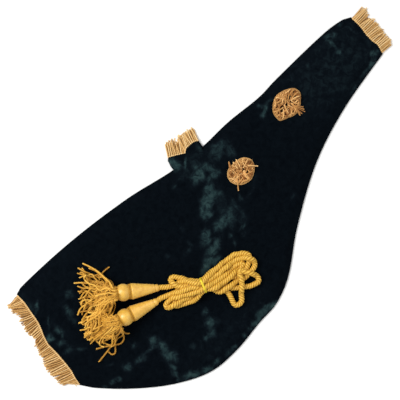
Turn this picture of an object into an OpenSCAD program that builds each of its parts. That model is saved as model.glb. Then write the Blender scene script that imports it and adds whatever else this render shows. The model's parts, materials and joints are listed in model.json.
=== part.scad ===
// Bagpipe bag cover with its drone cord, laid flat.
// +X runs to the neck end, +Y to the sleeve side and +Z up from the table.
// The origin is the middle of the bounding box, on the table.

/* [Cover] */
// Thickness of the velvet with its backing
cloth_t = 1.6; // [1.2:0.1:1.8]
// Height of the space between the two panels
cavity_h = 7; // [6:0.5:8]
// Width of the sewn seam along the long edges
seam_w = 3; // [2:0.5:4]
// Distance from a long edge to the flat top
rise_w = 18; // [14:1:18]

/* [Stock holes] */
// Radius of the clear hole inside each fringed ring
hole_r = 19; // [16:0.5:20]
// Width of the ring of fringe tape
ring_w = 5.5; // [4:0.5:6]
// Thickness of the ring of fringe tape
ring_t = 2.5; // [1.5:0.5:3]

/* [Fringe] */
// Width of the woven heading that carries the strands
heading_w = 5; // [3:0.5:7]
// Thickness of a row of strands
strand_t = 1.6; // [1:0.1:1.8]

/* [Drone cord] */
// Diameter of the cord
cord_d = 9.5; // [8:0.5:10]
// Height of the folded hank
hank_h = 22; // [18:1:24]
// Width of the band that ties the hank
tie_w = 3.5; // [2.5:0.5:5]

/* [Tassels] */
// Radius of the covered ball
ball_r = 14.5; // [13.5:0.5:14.5]
// Thickness of the thread wound over the wooden mould
winding_t = 1.2; // [0.8:0.1:1.4]
// Height of the loose end of the skirt
skirt_end_h = 11; // [8:1:14]

/* [Hidden] */
$fn = 48;

// The long edges of the cover, from the rear mouth to the neck mouth
lower_edge = [
    [-385, -28], [-376, -42], [-328, -92], [-270, -137], [-209, -166], [-150, -170], [-90, -163],
    [-49, -160], [-2, -141], [67, -91], [167, -34], [262, -1], [376, 22]
];
upper_edge = [
    [-356, 159], [-341, 163], [-228, 160], [-107, 146], [-17, 127], [47, 121], [107, 121],
    [176, 115], [214, 117], [330, 117], [368, 112], [382, 105]
];
columns = 60;
across = 6;
flat_top_z = 2 * cloth_t + cavity_h;

// The sleeve: a flattened tube that leaves the upper edge along +Y
sleeve_x = [-17, 47];
sleeve_blend = 8;
sleeve_base_y = 115;
sleeve_top_y = 165;
sleeve_mouth = [[-14, 143], [-8, 149], [18, 133], [24, 139], [43, 137], [49, 133]];
sleeve_outline = concat([[-17, 118], [-17, 128]], sleeve_mouth, [[47, 118]]);
sleeve_fringe_left = [[-8, 149], [18, 133], [22, 137], [19, 162], [8, 170], [0, 166]];
sleeve_fringe_right = [[22, 137], [24, 139], [43, 137], [49, 133], [56, 151], [50, 161], [25, 160]];

// The tips of the fringe at each mouth, as x at a height y
rear_tips = [
    [-31, -392], [-14, -400], [-4, -409], [22, -409], [45, -402], [90, -391], [112, -388], [135, -376], [156, -381]
];
neck_tips = [[20, 399], [30, 403], [45, 405], [60, 409], [104, 409]];
rear_droop = 3;
neck_droop = 1;

body_hole = [66, 45];
neck_hole = [201, 74];
panel_hole_clearance = 1.5;

// The folded cord, which lies on the flat top
cord_gap = 0.3;
cord_z = flat_top_z + cord_gap;
hank_outline = [
    [-191, -35], [-182, -25], [-166, -19], [-157, -3], [-146, 3], [-134, -3], [-127, -24], [-112, -37],
    [-80, -43], [-48, -45], [-24, -60], [-19, -76], [-31, -92], [-40, -113], [-66, -103], [-95, -120],
    [-104, -108], [-97, -86], [-117, -62], [-150, -58], [-180, -48]
];
tie_place = [-115, -49];
tie_turn = -20;
tie_outer_w = 27;
tie_t = 1.2;

// Each tassel turns about the end of its cord lead
pivot_h = 7;
pivot_z = cord_z + pivot_h;
upper_pivot = [-176, 2, pivot_z];
lower_pivot = [-194, -14, pivot_z];
upper_turn = 143;
lower_turn = 162;
tassel_tilt = 10.5;
upper_lead_path = [[-152, -16, 20], [-160, -10, 19], [-168, -4, 18], upper_pivot];
lower_lead_path = [[-166, -24, 20], [-174, -19, 19], [-184, -15, 18], lower_pivot];

// Stations along a tassel, from its pivot
tip_s = 5.5;
tip_r = 7.5;
shoulder_s = 42;
shoulder_r = 14;
groove_s = 45.5;
groove_r = 10.5;
groove_cord_r = 1.5;
ball_s = 57;
peg_s = 68;
peg_end_s = 78;
peg_r = 7;
core_r = 3;
core_gap = 0.05;
knot_r = 6.5;
knot_sink = 1.5;
skirt_heading_s = 70;
skirt_heading_end_s = 77.5;
skirt_heading_t = 2.5;
skirt_s = 70.5;
skirt_r = 12.5;
skirt_gap = 0.2;
skirt_reach = 118;
skirt_end_w = 40;
skirt_end_r = 6;

// ---- helper functions ----

function smooth(t) = let (c = min(max(t, 0), 1)) c * c * (3 - 2 * c);

// Height of the smooth curve through points p at x
function slope(p, i) =
    let (a = p[max(i - 1, 0)], b = p[min(i + 1, len(p) - 1)]) (b[1] - a[1]) / (b[0] - a[0]);
function span(p, x, i = 0) = (i >= len(p) - 2 || x < p[i + 1][0]) ? i : span(p, x, i + 1);
function curve_y(p, x) =
    let (i = span(p, x), w = p[i + 1][0] - p[i][0], t = (x - p[i][0]) / w)
    (2 * t ^ 3 - 3 * t ^ 2 + 1) * p[i][1]
    + (t ^ 3 - 2 * t ^ 2 + t) * slope(p, i) * w
    + (3 * t ^ 2 - 2 * t ^ 3) * p[i + 1][1]
    + (t ^ 3 - t ^ 2) * slope(p, i + 1) * w;

// Closed smooth loop through points p, with k points for each one given
function loop_point(a, b, c, d, t) =
    0.5 * (2 * b + (c - a) * t + (2 * a - 5 * b + 4 * c - d) * t ^ 2 + (3 * b - a - 3 * c + d) * t ^ 3);
function smooth_loop(p, k = 5) =
    let (n = len(p))
    [for (i = [0 : n - 1]) for (j = [0 : k - 1])
        loop_point(p[(i + n - 1) % n], p[i], p[(i + 1) % n], p[(i + 2) % n], j / k)];

// Open smooth line through points p, with k steps between two points
function smooth_line(p, k = 3) =
    let (n = len(p))
    concat(
        [for (i = [0 : n - 2]) for (j = [0 : k - 1])
            loop_point(p[max(i - 1, 0)], p[i], p[i + 1], p[min(i + 2, n - 1)], j / k)],
        [p[n - 1]]
    );

// ---- the cover's grid of points ----

function edge_x(edge, i) = edge[0][0] + (edge[len(edge) - 1][0] - edge[0][0]) * i / columns;
function low_point(i) = let (x = edge_x(lower_edge, i)) [x, curve_y(lower_edge, x)];
function high_point(i) = let (x = edge_x(upper_edge, i)) [x, curve_y(upper_edge, x)];

// Distances from the lower edge of the points across column i
edge_steps = [0, seam_w, 7, 11, rise_w];
function steps_across(length) = concat(
    edge_steps,
    [for (k = [1 : across - 1]) rise_w + (length - 2 * rise_w) * k / across],
    [for (k = [len(edge_steps) - 1 : -1 : 0]) length - edge_steps[k]]
);

// Height of the space under the front panel, d from the lower edge and e from the upper edge
function rise(d) = cavity_h * smooth((d - seam_w) / (rise_w - seam_w));
function in_sleeve(x) =
    smooth((x - sleeve_x[0]) / sleeve_blend) * smooth((sleeve_x[1] - x) / sleeve_blend);
function space(x, d, e) = min(rise(d), max(rise(e), cavity_h * in_sleeve(x)));

// Underside of the front panel along column i
function column(i) =
    let (a = low_point(i), b = high_point(i), length = norm(b - a))
    [for (d = steps_across(length))
        let (q = a + (b - a) * d / length) [q[0], q[1], cloth_t + space(q[0], d, length - d)]];

function raised(grid, h) = [for (row = grid) [for (q = row) [q[0], q[1], q[2] + h]]];
function laid_flat(grid, z) = [for (row = grid) [for (q = row) [q[0], q[1], z]]];

// Closed sheet between two grids of points, the lower one first
module sheet(low, top) {
    rows = len(low);
    cols = len(low[0]);
    function at(layer, i, j) = (layer * rows + i) * cols + j;
    function quad(a, b, c, d) = [[a, b, c], [a, c, d]];
    points = [for (grid = [low, top]) for (row = grid) each row];
    faces = [
        for (i = [0 : rows - 2]) for (j = [0 : cols - 2]) each concat(
            quad(at(1, i, j), at(1, i, j + 1), at(1, i + 1, j + 1), at(1, i + 1, j)),
            quad(at(0, i, j), at(0, i + 1, j), at(0, i + 1, j + 1), at(0, i, j + 1))
        ),
        for (i = [0 : rows - 2]) each concat(
            quad(at(0, i, 0), at(1, i, 0), at(1, i + 1, 0), at(0, i + 1, 0)),
            quad(at(0, i + 1, cols - 1), at(1, i + 1, cols - 1), at(1, i, cols - 1), at(0, i, cols - 1))
        ),
        for (j = [0 : cols - 2]) each concat(
            quad(at(0, 0, j + 1), at(1, 0, j + 1), at(1, 0, j), at(0, 0, j)),
            quad(at(0, rows - 1, j), at(1, rows - 1, j), at(1, rows - 1, j + 1), at(0, rows - 1, j + 1))
        )
    ];
    polyhedron(points, faces);
}

// ---- velvet ----

module velvet() {
    color([0.02, 0.05, 0.06]) children();
}

module cover_outline() {
    polygon(concat(
        [for (i = [0 : columns]) low_point(i)],
        [for (i = [columns : -1 : 0]) high_point(i)]
    ));
}

module back_panel() {
    velvet()
        linear_extrude(cloth_t)
            cover_outline();
}

module front_panel() {
    grid = [for (i = [0 : columns]) column(i)];
    velvet()
        difference() {
            sheet(grid, raised(grid, cloth_t));
            for (place = [body_hole, neck_hole])
                translate([place[0], place[1], flat_top_z - cloth_t - 1])
                    cylinder(r = hole_r + panel_hole_clearance, h = cloth_t + 2);
        }
}

// Flattened tube along +Y that the sleeve and its heading are cut from
module sleeve_tube() {
    outer_r = flat_top_z / 2;
    mid_x = (sleeve_x[0] + sleeve_x[1]) / 2;
    flat_w = sleeve_x[1] - sleeve_x[0] - 2 * outer_r;
    module section(r) {
        square([flat_w, 2 * r], center = true);
        for (side = [-1, 1])
            translate([side * flat_w / 2, 0])
                circle(r = r);
    }
    translate([mid_x, sleeve_top_y, outer_r])
        rotate([90, 0, 0])
            linear_extrude(sleeve_top_y - sleeve_base_y)
                difference() {
                    section(outer_r);
                    section(outer_r - cloth_t);
                }
}

module stock_sleeve() {
    velvet()
        intersection() {
            sleeve_tube();
            linear_extrude(flat_top_z)
                difference() {
                    polygon(sleeve_outline);
                    cover_outline();
                }
        }
}

// ---- fringe at the three mouths ----

module wool() {
    color([0.78, 0.6, 0.34]) children();
}

// Column of the front panel's underside at a mouth, moved out by dx
function moved(col, dx) = [for (q = col) [q[0] + dx, q[1], q[2]]];
// The tips of the strands that leave that column
function tips(col, table, droop) =
    [for (q = col) let (y = q[1] - droop) [lookup(y, table), y, q[2]]];

module mouth_heading(near_col, far_col) {
    front = [near_col, far_col];
    wool() {
        sheet(front, raised(front, cloth_t));
        sheet(laid_flat(front, 0), laid_flat(front, cloth_t));
    }
}

module front_strands(near_col, far_col) {
    grid = [near_col, far_col];
    wool()
        sheet(grid, raised(grid, strand_t));
}

module back_strands(near_col, far_col) {
    grid = [near_col, far_col];
    wool()
        sheet(laid_flat(grid, 0), laid_flat(grid, strand_t));
}

rear_col = column(0);
neck_col = column(columns);
rear_heading_col = moved(rear_col, -heading_w);
neck_heading_col = moved(neck_col, heading_w);
rear_tip_col = tips(rear_col, rear_tips, rear_droop);
neck_tip_col = tips(neck_col, neck_tips, neck_droop);

module rear_fringe_heading() { mouth_heading(rear_heading_col, rear_col); }
module rear_fringe_front_strands() { front_strands(rear_tip_col, rear_heading_col); }
module rear_fringe_back_strands() { back_strands(rear_tip_col, rear_heading_col); }
module neck_fringe_heading() { mouth_heading(neck_col, neck_heading_col); }
module neck_fringe_front_strands() { front_strands(neck_heading_col, neck_tip_col); }
module neck_fringe_back_strands() { back_strands(neck_heading_col, neck_tip_col); }

// The strip of the sleeve fringe that is woven, just outside the sleeve's mouth
module sleeve_heading_strip() {
    shown = [for (k = [1 : 5]) sleeve_mouth[k]];
    rim = [for (k = [3 : -1 : 0]) shown[k] + [0, heading_w]];
    corner = shown[4] + [1, heading_w];
    polygon(concat(shown, [corner], rim));
}

module sleeve_fringe_outline() {
    difference() {
        union() {
            polygon(sleeve_fringe_left);
            polygon(sleeve_fringe_right);
        }
        sleeve_heading_strip();
        polygon(sleeve_outline);
    }
}

module sleeve_fringe_heading() {
    wool()
        intersection() {
            sleeve_tube();
            linear_extrude(flat_top_z)
                sleeve_heading_strip();
        }
}

module sleeve_fringe_front_strands() {
    wool()
        translate([0, 0, flat_top_z - strand_t])
            linear_extrude(strand_t)
                sleeve_fringe_outline();
}

module sleeve_fringe_back_strands() {
    wool()
        linear_extrude(strand_t)
            sleeve_fringe_outline();
}

// ---- fringed rings round the stock holes ----

module hole_heading(place) {
    wool()
        translate([place[0], place[1], flat_top_z])
            difference() {
                cylinder(r = hole_r + ring_w, h = ring_t, $fn = 96);
                translate([0, 0, -1])
                    cylinder(r = hole_r, h = ring_t + 2, $fn = 96);
            }
}

// The strands stand on the tape as a low rounded ring outside the clear hole
module hole_strands(place) {
    half_w = (ring_w + 2) / 2;
    wool()
        translate([place[0], place[1], flat_top_z + ring_t])
            rotate_extrude($fn = 96)
                translate([hole_r + half_w, 0])
                    intersection() {
                        circle(r = half_w);
                        translate([-half_w, 0])
                            square([2 * half_w, half_w]);
                    }
}

module body_hole_heading() { hole_heading(body_hole); }
module body_hole_strands() { hole_strands(body_hole); }
module neck_hole_heading() { hole_heading(neck_hole); }
module neck_hole_strands() { hole_strands(neck_hole); }

// ---- drone cord ----

module silk() {
    color([0.85, 0.62, 0.2]) children();
}

// The band round the waist of the hank; the hank has a groove of the same shape
module tie_ring() {
    translate([tie_place[0], tie_place[1], cord_z])
        rotate([90, 0, 90 + tie_turn])
            translate([0, 0, -tie_w / 2])
                linear_extrude(tie_w)
                    difference() {
                        translate([-tie_outer_w / 2, 0])
                            square([tie_outer_w, hank_h]);
                        translate([-tie_outer_w / 2 + 2 * tie_t, tie_t])
                            square([tie_outer_w - 4 * tie_t, hank_h - 2 * tie_t]);
                    }
}

module cord_hank() {
    silk()
        difference() {
            translate([0, 0, cord_z])
                linear_extrude(hank_h)
                    polygon(smooth_loop(hank_outline));
            tie_ring();
        }
}

module hank_tie() {
    color([0.95, 0.85, 0.1]) tie_ring();
}

// Round cord swept along a line of points, with a rounded far end
module cord_along(path) {
    sides = 10;
    r = cord_d / 2;
    line = smooth_line(path);
    last = len(line) - 1;
    end_dir = (line[last] - line[last - 1]) / norm(line[last] - line[last - 1]);
    function direction(i) =
        let (d = line[min(i + 1, last)] - line[max(i - 1, 0)]) d / norm(d);
    function ring(centre, dir, radius) =
        let (side = cross([0, 0, 1], dir), across = side / norm(side), up = cross(dir, across))
        [for (k = [0 : sides - 1])
            let (a = 360 * k / sides) centre + radius * (cos(a) * across + sin(a) * up)];
    rings = concat(
        [for (i = [0 : last]) ring(line[i], direction(i), r)],
        [for (a = [30, 60, 80]) ring(line[last] + end_dir * r * sin(a), end_dir, r * cos(a))]
    );
    n = len(rings);
    faces = concat(
        [[for (k = [0 : sides - 1]) k]],
        [for (i = [0 : n - 2]) for (k = [0 : sides - 1])
            let (m = (k + 1) % sides)
            each [
                [i * sides + k, (i + 1) * sides + k, (i + 1) * sides + m],
                [i * sides + k, (i + 1) * sides + m, i * sides + m]
            ]],
        [[for (k = [sides - 1 : -1 : 0]) (n - 1) * sides + k]]
    );
    silk()
        polyhedron([for (one = rings) each one], faces);
}

module upper_cord_lead() { cord_along(upper_lead_path); }
module lower_cord_lead() { cord_along(lower_lead_path); }

// ---- tassels ----

// Puts a shape that is drawn round +Z from the pivot onto a tassel's axis
module on_axis(pivot, turn) {
    translate(pivot)
        rotate([0, 90 - tassel_tilt, turn])
            children();
}

// Outline of the covered head, grown by t over the wood; its two halves meet in the groove
function cone_profile(t) = [[tip_r - winding_t + t, tip_s], [shoulder_r - winding_t + t, shoulder_s]];
ball_core_r = ball_r - winding_t;
function ball_half_angle(r) = asin(groove_r / r);
function ball_profile(r, steps = 16) =
    let (from = ball_half_angle(r), to = 180 - asin(peg_r / r))
    [for (k = [0 : steps])
        let (a = from + (to - from) * k / steps) [r * sin(a), ball_s - r * cos(a)]];

module tassel_mould(pivot, turn) {
    color([0.72, 0.53, 0.33])
        on_axis(pivot, turn)
            rotate_extrude()
                polygon(concat(
                    [[core_r + core_gap, tip_s]],
                    cone_profile(0),
                    [[groove_r - winding_t, groove_s - 1], [groove_r - winding_t, groove_s + 1]],
                    ball_profile(ball_core_r),
                    [[peg_r, peg_end_s], [core_r + core_gap, peg_end_s]]
                ));
}

module tassel_cone_winding(pivot, turn) {
    wood = cone_profile(0);
    thread = cone_profile(winding_t);
    silk()
        on_axis(pivot, turn)
            rotate_extrude()
                polygon([wood[0], thread[0], thread[1], wood[1]]);
}

module tassel_groove_cord(pivot, turn) {
    silk()
        on_axis(pivot, turn)
            translate([0, 0, groove_s])
                rotate_extrude()
                    translate([groove_r - winding_t + groove_cord_r, 0])
                        circle(r = groove_cord_r, $fn = 24);
}

module tassel_ball_winding(pivot, turn) {
    inner = ball_profile(ball_core_r);
    outer = ball_profile(ball_r);
    silk()
        on_axis(pivot, turn)
            rotate_extrude()
                polygon(concat(outer, [for (k = [len(inner) - 1 : -1 : 0]) inner[k]]));
}

module tassel_core_cord(pivot, turn) {
    silk()
        on_axis(pivot, turn)
            translate([0, 0, tip_s])
                cylinder(r = core_r, h = peg_end_s - tip_s);
}

module tassel_end_knot(pivot, turn) {
    silk()
        on_axis(pivot, turn)
            intersection() {
                translate([0, 0, peg_end_s + knot_r - knot_sink])
                    sphere(r = knot_r);
                translate([0, 0, peg_end_s])
                    cylinder(r = 2 * knot_r, h = 2 * knot_r);
            }
}

module tassel_skirt_heading(pivot, turn) {
    silk()
        on_axis(pivot, turn)
            translate([0, 0, skirt_heading_s])
                linear_extrude(skirt_heading_end_s - skirt_heading_s)
                    difference() {
                        circle(r = peg_r + skirt_heading_t);
                        circle(r = peg_r + core_gap);
                    }
}

// The skirt leaves the ball as a round bundle and spreads out flat on the cover
module tassel_skirt_strands(pivot, turn) {
    hollow_r = peg_r + skirt_heading_t + skirt_gap;
    hollow_end_s = peg_end_s + 2 * knot_r;
    silk()
        difference() {
            hull() {
                on_axis(pivot, turn)
                    translate([0, 0, skirt_s])
                        cylinder(r = skirt_r, h = 3, $fn = 32);
                translate([pivot[0], pivot[1], cord_z + skirt_gap])
                    rotate([0, 0, turn])
                        for (side = [-1, 1])
                            translate([skirt_reach, side * skirt_end_w / 2, 0])
                                cylinder(r = skirt_end_r, h = skirt_end_h, $fn = 32);
            }
            on_axis(pivot, turn)
                translate([0, 0, peg_s])
                    cylinder(r = hollow_r, h = hollow_end_s - peg_s);
        }
}

module upper_tassel_mould() { tassel_mould(upper_pivot, upper_turn); }
module upper_tassel_cone_winding() { tassel_cone_winding(upper_pivot, upper_turn); }
module upper_tassel_groove_cord() { tassel_groove_cord(upper_pivot, upper_turn); }
module upper_tassel_ball_winding() { tassel_ball_winding(upper_pivot, upper_turn); }
module upper_tassel_core_cord() { tassel_core_cord(upper_pivot, upper_turn); }
module upper_tassel_end_knot() { tassel_end_knot(upper_pivot, upper_turn); }
module upper_tassel_skirt_heading() { tassel_skirt_heading(upper_pivot, upper_turn); }
module upper_tassel_skirt_strands() { tassel_skirt_strands(upper_pivot, upper_turn); }
module lower_tassel_mould() { tassel_mould(lower_pivot, lower_turn); }
module lower_tassel_cone_winding() { tassel_cone_winding(lower_pivot, lower_turn); }
module lower_tassel_groove_cord() { tassel_groove_cord(lower_pivot, lower_turn); }
module lower_tassel_ball_winding() { tassel_ball_winding(lower_pivot, lower_turn); }
module lower_tassel_core_cord() { tassel_core_cord(lower_pivot, lower_turn); }
module lower_tassel_end_knot() { tassel_end_knot(lower_pivot, lower_turn); }
module lower_tassel_skirt_heading() { tassel_skirt_heading(lower_pivot, lower_turn); }
module lower_tassel_skirt_strands() { tassel_skirt_strands(lower_pivot, lower_turn); }

back_panel();
front_panel();
stock_sleeve();
rear_fringe_heading();
rear_fringe_front_strands();
rear_fringe_back_strands();
neck_fringe_heading();
neck_fringe_front_strands();
neck_fringe_back_strands();
sleeve_fringe_heading();
sleeve_fringe_front_strands();
sleeve_fringe_back_strands();
body_hole_heading();
body_hole_strands();
neck_hole_heading();
neck_hole_strands();
cord_hank();
upper_cord_lead();
lower_cord_lead();
hank_tie();
upper_tassel_mould();
upper_tassel_cone_winding();
upper_tassel_groove_cord();
upper_tassel_ball_winding();
upper_tassel_core_cord();
upper_tassel_end_knot();
upper_tassel_skirt_heading();
upper_tassel_skirt_strands();
lower_tassel_mould();
lower_tassel_cone_winding();
lower_tassel_groove_cord();
lower_tassel_ball_winding();
lower_tassel_core_cord();
lower_tassel_end_knot();
lower_tassel_skirt_heading();
lower_tassel_skirt_strands();
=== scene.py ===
"""Looks of the bagpipe bag cover and its drone cord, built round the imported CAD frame.

Everything is in metres in the CAD's own frame: +X to the neck mouth, +Y to the sleeve, +Z up.
Lengths that a person would measure are written in millimetres and multiplied by MM.
"""

import json
import math

import bpy
import numpy as np
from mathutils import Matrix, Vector, noise

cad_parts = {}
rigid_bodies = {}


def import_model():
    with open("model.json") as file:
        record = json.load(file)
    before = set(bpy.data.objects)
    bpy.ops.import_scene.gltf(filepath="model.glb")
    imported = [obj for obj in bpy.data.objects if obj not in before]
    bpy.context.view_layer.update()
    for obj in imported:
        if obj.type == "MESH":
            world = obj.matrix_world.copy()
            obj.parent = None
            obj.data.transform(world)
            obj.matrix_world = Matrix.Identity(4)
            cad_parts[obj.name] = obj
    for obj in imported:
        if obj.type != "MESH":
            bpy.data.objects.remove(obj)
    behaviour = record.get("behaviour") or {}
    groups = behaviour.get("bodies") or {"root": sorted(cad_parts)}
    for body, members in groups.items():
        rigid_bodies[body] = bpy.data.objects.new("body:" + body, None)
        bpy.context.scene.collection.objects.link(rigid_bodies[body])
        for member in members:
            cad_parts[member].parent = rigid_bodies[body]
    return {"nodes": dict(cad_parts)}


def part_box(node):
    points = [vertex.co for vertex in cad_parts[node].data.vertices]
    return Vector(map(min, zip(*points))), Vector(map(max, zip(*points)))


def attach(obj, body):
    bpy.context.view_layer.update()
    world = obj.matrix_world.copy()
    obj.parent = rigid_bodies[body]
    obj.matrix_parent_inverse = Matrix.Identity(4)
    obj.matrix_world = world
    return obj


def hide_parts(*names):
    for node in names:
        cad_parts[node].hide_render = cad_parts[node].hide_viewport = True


noise.seed_set(1)       # without a seed, noise_vector differs from run to run
for thing in list(bpy.data.objects):
    bpy.data.objects.remove(thing)
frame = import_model()
bpy.context.view_layer.update()
MM = 0.001

# ---------------------------------------------------------------- camera, light and floor

VIEW_CENTRE = (-19.4 * MM, 58.3 * MM)   # the point of the cover under the middle of the view
VIEW_TURN = -43.85                      # degrees that the view is turned about the upright
VIEW_WIDTH = 680 * MM                   # what the view spans at the height of the cloth
LENS = 100                              # focal length and sensor width of the camera, in millimetres
SENSOR = 36
AMBIENT = 0.62                          # strength of the even light from all round
LIGHTS = {                              # place in metres, size in metres and power in watts
    "key": ((-0.7, 1.3, 1.7), 1.1, 38),
    "fill": ((1.1, -0.9, 1.9), 1.6, 9),
}
FLOOR_HALF = 6.0                        # metres from the middle of the floor to its sides
CLOTH_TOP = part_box("front_panel")[1].z


def placed(name, data, place=(0, 0, 0)):
    """A new object in the scene."""
    thing = bpy.data.objects.new(name, data)
    thing.location = place
    bpy.context.scene.collection.objects.link(thing)
    return thing


def make_camera():
    data = bpy.data.cameras.new("camera")
    data.lens = LENS
    data.sensor_width = SENSOR
    camera = placed("camera", data, (*VIEW_CENTRE, CLOTH_TOP + VIEW_WIDTH * LENS / SENSOR))
    camera.rotation_euler = (0, 0, math.radians(VIEW_TURN))
    bpy.context.scene.camera = camera


def make_lights():
    world = bpy.data.worlds.new("studio")
    world.use_nodes = True
    background = world.node_tree.nodes["Background"]
    background.inputs["Color"].default_value = (1, 1, 1, 1)
    background.inputs["Strength"].default_value = AMBIENT
    bpy.context.scene.world = world
    bpy.context.scene.view_settings.view_transform = "Standard"
    for name, (place, size, power) in LIGHTS.items():
        data = bpy.data.lights.new(name, "AREA")
        data.shape = "DISK"
        data.size = size
        data.energy = power
        light = placed(name, data, place)
        light.rotation_euler = (-Vector(place)).to_track_quat("-Z", "Y").to_euler()


def make_floor():
    material, _, shader = new_material("floor")
    set_inputs(shader, Base_Color=(0.93, 0.93, 0.92, 1), Roughness=0.9)
    corners = [(x * FLOOR_HALF, y * FLOOR_HALF, 0) for x, y in ((-1, -1), (1, -1), (1, 1), (-1, 1))]
    mesh = bpy.data.meshes.new("floor")
    mesh.from_pydata(corners, [], [(0, 1, 2, 3)])
    mesh.materials.append(material)
    placed("floor", mesh)


# ---------------------------------------------------------------- materials

def new_material(name):
    material = bpy.data.materials.new(name)
    material.use_nodes = True
    tree = material.node_tree
    return material, tree, tree.nodes["Principled BSDF"]


def set_inputs(node, **values):
    """Sets a node's inputs. An underscore in a name stands for a space."""
    for key, value in values.items():
        node.inputs[key.replace("_", " ")].default_value = value


def noise_on(tree, **values):
    """The value of a noise laid over the piece in its own coordinates."""
    place = tree.nodes.new("ShaderNodeTexCoord").outputs["Object"]
    texture = tree.nodes.new("ShaderNodeTexNoise")
    set_inputs(texture, **values)
    tree.links.new(place, texture.inputs["Vector"])
    return texture.outputs["Fac"]


def marked_on(tree, name):
    """The value that the mesh gives each of its points under a name."""
    node = tree.nodes.new("ShaderNodeAttribute")
    node.attribute_name = name
    return node.outputs["Fac"]


def multiply_add(tree, value, by, plus):
    """The sum of a product and a third value, each a number or a socket."""
    node = tree.nodes.new("ShaderNodeMath")
    node.operation = "MULTIPLY_ADD"
    for socket, given in zip(node.inputs, (value, by, plus)):
        if isinstance(given, float):
            socket.default_value = given
        else:
            tree.links.new(given, socket)
    return node.outputs["Value"]


def colour_by(tree, shader, factor, stops):
    """Colours the surface along a ramp of (position, colour) stops."""
    node = tree.nodes.new("ShaderNodeValToRGB")
    ramp = node.color_ramp
    for end, (position, colour) in zip(ramp.elements, (stops[0], stops[-1])):
        end.position = position
        end.color = (*colour, 1)
    for position, colour in stops[1:-1]:
        ramp.elements.new(position).color = (*colour, 1)
    tree.links.new(factor, node.inputs["Fac"])
    tree.links.new(node.outputs["Color"], shader.inputs["Base Color"])


def bump_by(tree, shader, height, strength, distance):
    bump = tree.nodes.new("ShaderNodeBump")
    set_inputs(bump, Strength=strength, Distance=distance)
    tree.links.new(height, bump.inputs["Height"])
    tree.links.new(bump.outputs["Normal"], shader.inputs["Normal"])


def velvet_material():
    """Near-black pile. Its crushed patches, marked on the mesh, get painted sheen: a lighter teal base colour
    where they catch the light.
    """
    material, tree, shader = new_material("velvet")
    mottle = noise_on(tree, Scale=100.0, Detail=6.0, Roughness=0.65, Distortion=0.7)
    broken = multiply_add(tree, mottle, 1.3, -0.05)
    plain = multiply_add(tree, mottle, 0.45, 0.0)
    # the lighter, teal stops of the ramp are painted sheen on the crushed patches
    colour_by(tree, shader, multiply_add(tree, marked_on(tree, "crush_sheen"), broken, plain), [
        (0.14, (0.0003, 0.0012, 0.0025)),
        (0.33, (0.0017, 0.0036, 0.0058)),
        (0.50, (0.0050, 0.0105, 0.0135)),
        (0.68, (0.0125, 0.0280, 0.0305)),
        (0.95, (0.0290, 0.0560, 0.0560)),
    ])
    set_inputs(shader, Roughness=0.85, Specular_IOR_Level=0.03, Sheen_Weight=0.03, Sheen_Roughness=0.3,
               Sheen_Tint=(0.45, 0.7, 0.75, 1))
    bump_by(tree, shader, noise_on(tree, Scale=1400.0, Detail=2.0), 0.35, 0.0004)
    return material


def yarn_material(name, dark, middle, light, roughness, sheen, fibre_scale):
    """Twisted yarn: each strand has its own tone, with painted shade in the grooves between its plies, and
    fine fibres run along it.
    """
    material, tree, shader = new_material(name)
    mottle = noise_on(tree, Scale=fibre_scale, Detail=3.0)
    mixed = multiply_add(tree, mottle, 0.45, marked_on(tree, "tone"))
    colour_by(tree, shader, mixed, [(0.15, dark), (0.6, middle), (1.0, light)])
    set_inputs(shader, Roughness=roughness, Specular_IOR_Level=0.3, Sheen_Weight=sheen, Sheen_Roughness=0.4,
               Sheen_Tint=(1.0, 0.9, 0.7, 1))
    bump_by(tree, shader, noise_on(tree, Scale=fibre_scale * 6, Detail=2.0), 0.4, 0.0003)
    return material


def mottled_material(name, scale, detail, stops, bump=0.0, **looks):
    """One colour that varies a little over the surface."""
    material, tree, shader = new_material(name)
    mottle = noise_on(tree, Scale=scale, Detail=detail)
    colour_by(tree, shader, mottle, stops)
    set_inputs(shader, **looks)
    if bump:
        bump_by(tree, shader, mottle, bump, 0.0003)
    return material


VELVET = velvet_material()
WOOL = yarn_material("fringe_wool", (0.24, 0.09, 0.014), (0.68, 0.39, 0.125), (0.94, 0.68, 0.34),
                     0.8, 0.2, 500.0)
ROSETTE_WOOL = yarn_material("hole_fringe_wool", (0.22, 0.065, 0.008), (0.70, 0.36, 0.105),
                             (0.94, 0.62, 0.27), 0.8, 0.2, 500.0)
SILK = yarn_material("cord_silk", (0.11, 0.034, 0.001), (0.56, 0.275, 0.021), (0.88, 0.565, 0.088),
                     0.45, 0.1, 450.0)
BULLION = yarn_material("tassel_bullion", (0.22, 0.08, 0.004), (0.72, 0.37, 0.038), (0.96, 0.62, 0.13),
                        0.5, 0.1, 500.0)
SATIN = mottled_material("tassel_satin", 160.0, 2.0, [(0.3, (0.68, 0.36, 0.034)), (0.7, (0.84, 0.50, 0.062))],
                         Roughness=0.42, Specular_IOR_Level=0.9, Anisotropic=0.4, Sheen_Weight=0.15)
TIE = mottled_material("tie", 400.0, 2.0, [(0.3, (0.70, 0.50, 0.01)), (0.7, (0.84, 0.66, 0.03))],
                       bump=0.2, Roughness=0.45)
WOOD = mottled_material("mould_wood", 120.0, 4.0, [(0.35, (0.38, 0.21, 0.09)), (0.65, (0.56, 0.35, 0.17))],
                        Roughness=0.6)


# ---------------------------------------------------------------- shapes

PLIES = 2               # in each fringe and skirt strand
PLY_SHADE = 0.7         # how much painted shade darkens the grooves between plies
CUT_SHADE = 0.35        # how much lighter cut ends are


def smooth(t):
    c = np.clip(t, 0, 1)
    return c * c * (3 - 2 * c)


def mark_points(mesh, name, values):
    mesh.attributes.new(name, "FLOAT", "POINT").data.foreach_set("value", np.asarray(values, np.float32))


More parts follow.
